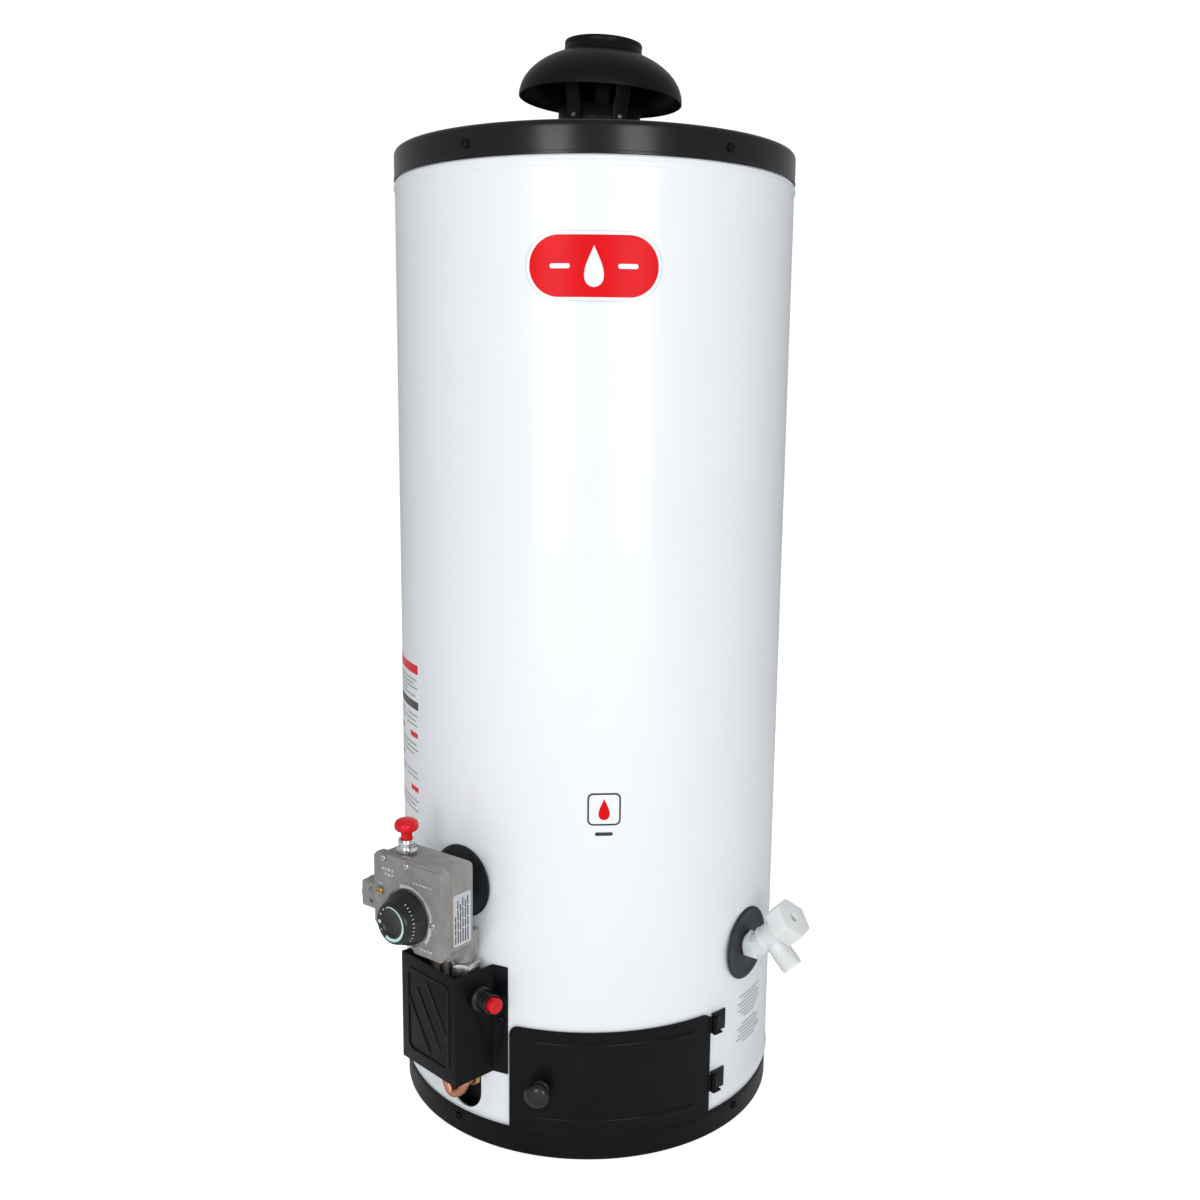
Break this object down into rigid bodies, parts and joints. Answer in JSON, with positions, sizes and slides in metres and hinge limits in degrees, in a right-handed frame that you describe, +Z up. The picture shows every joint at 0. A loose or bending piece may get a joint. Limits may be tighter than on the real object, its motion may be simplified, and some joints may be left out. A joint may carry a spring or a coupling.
{
  "type": "tank water heater",
  "caption": "Upright gas storage water heater: white cylindrical jacket, black pan, cover and draft hood, gas control with dial, burner shield, access door and drain valve.",
  "frame": {"origin": "centre of the underside of the base pan, on the floor and on the axis of the jacket", "axes": "+Z up the heater; -Y is the front, where the access door is; +X is to the right of someone facing the front"},
  "size_m": [0.4211, 0.4251, 1.0338],
  "materials": {
    "white_enamel": "gloss",
    "black_paint": "semi-gloss powder coat",
    "slate_trim": "satin",
    "plain_steel": "dull",
    "cast_aluminium": "fine cast",
    "zinc_plate": "bright plated",
    "brass": "bright",
    "copper": "bright copper",
    "red_plastic": "gloss",
    "black_plastic": "gloss",
    "white_plastic": "satin gloss",
    "foam": "matt",
    "gasket": "matt"
  },
  "bodies": {
    "heater": {"base_pan": "black_paint", "jacket": "white_enamel", "top_cover": "black_paint", "tank_shell": "plain_steel", "tank_top_head": "plain_steel", "tank_bottom_head": "plain_steel", "flue_tube": "plain_steel", "flue_baffle": "plain_steel", "insulation": "foam", "cold_inlet_nipple": "plain_steel", "hot_outlet_nipple": "plain_steel", "dip_tube": "white_plastic", "anode_rod": "plain_steel", "hood_neck": "black_paint", "hood_dome": "black_paint", "hood_collar": "black_paint", "hood_leg_1": "black_paint", "hood_leg_2": "black_paint", "hood_leg_3": "black_paint", "door_hinge_lower": "black_paint", "door_hinge_upper": "black_paint", "control_body": "cast_aluminium", "control_gasket": "gasket", "control_cover": "cast_aluminium", "thermostat_probe": "copper", "pilot_bushing": "zinc_plate", "control_screw_1": "zinc_plate", "control_screw_2": "zinc_plate", "brass_adjusting_screw": "brass", "control_escutcheon": "slate_trim", "outlet_nut": "zinc_plate", "burner_gas_tube": "copper", "tube_nut": "brass", "pilot_tube": "copper", "thermocouple_lead": "copper", "pilot_burner": "zinc_plate", "burner": "plain_steel", "burner_strap": "plain_steel", "ignition_shield": "black_paint", "piezo_body": "black_plastic", "igniter_lead": "black_plastic", "drain_valve_body": "white_plastic", "drain_escutcheon": "slate_trim", "cover_screw_1": "black_paint", "cover_screw_2": "black_paint", "cover_screw_3": "black_paint", "cover_screw_4": "black_paint", "cover_screw_5": "black_paint", "pan_screw_1": "black_paint", "pan_screw_2": "black_paint", "pan_screw_3": "black_paint", "pan_screw_4": "black_paint", "shield_screw_1": "black_paint", "shield_screw_2": "black_paint"},
    "access_door": {"access_door": "black_paint", "door_knob": "black_plastic"},
    "temperature_dial": {"temperature_dial": "black_plastic"},
    "pilot_button": {"pilot_button": "red_plastic"},
    "piezo_button": {"piezo_button": "red_plastic"},
    "drain_handle": {"drain_handle": "white_plastic"}
  },
  "joints": [
    {"name": "access_door_hinge", "type": "hinge", "parent": "heater", "child": "access_door", "pos_m": [0.12201, -0.15121, 0.079], "axis": [0, 0, 1], "range_deg": [0, 100]},
    {"name": "temperature_dial_turn", "type": "hinge", "parent": "heater", "child": "temperature_dial", "pos_m": [-0.16623, -0.21276, 0.247], "axis": [-0.6157, -0.788, 0], "range_deg": [-200, 60]},
    {"name": "pilot_button_press", "type": "slide", "parent": "heater", "child": "pilot_button", "axis": [0, 0, -1], "range_m": [0, 0.005], "stiffness_N_per_m": 400, "springref_m": -0.002},
    {"name": "piezo_button_press", "type": "slide", "parent": "heater", "child": "piezo_button", "axis": [-0.6947, 0.7193, 0], "range_m": [0, 0.005], "stiffness_N_per_m": 400, "springref_m": -0.002},
    {"name": "drain_handle_turn", "type": "hinge", "parent": "heater", "child": "drain_handle", "pos_m": [0.1628, -0.11959, 0.183], "axis": [0.5699, -0.4186, 0.7071], "range_deg": [0, 360]}
  ]
}
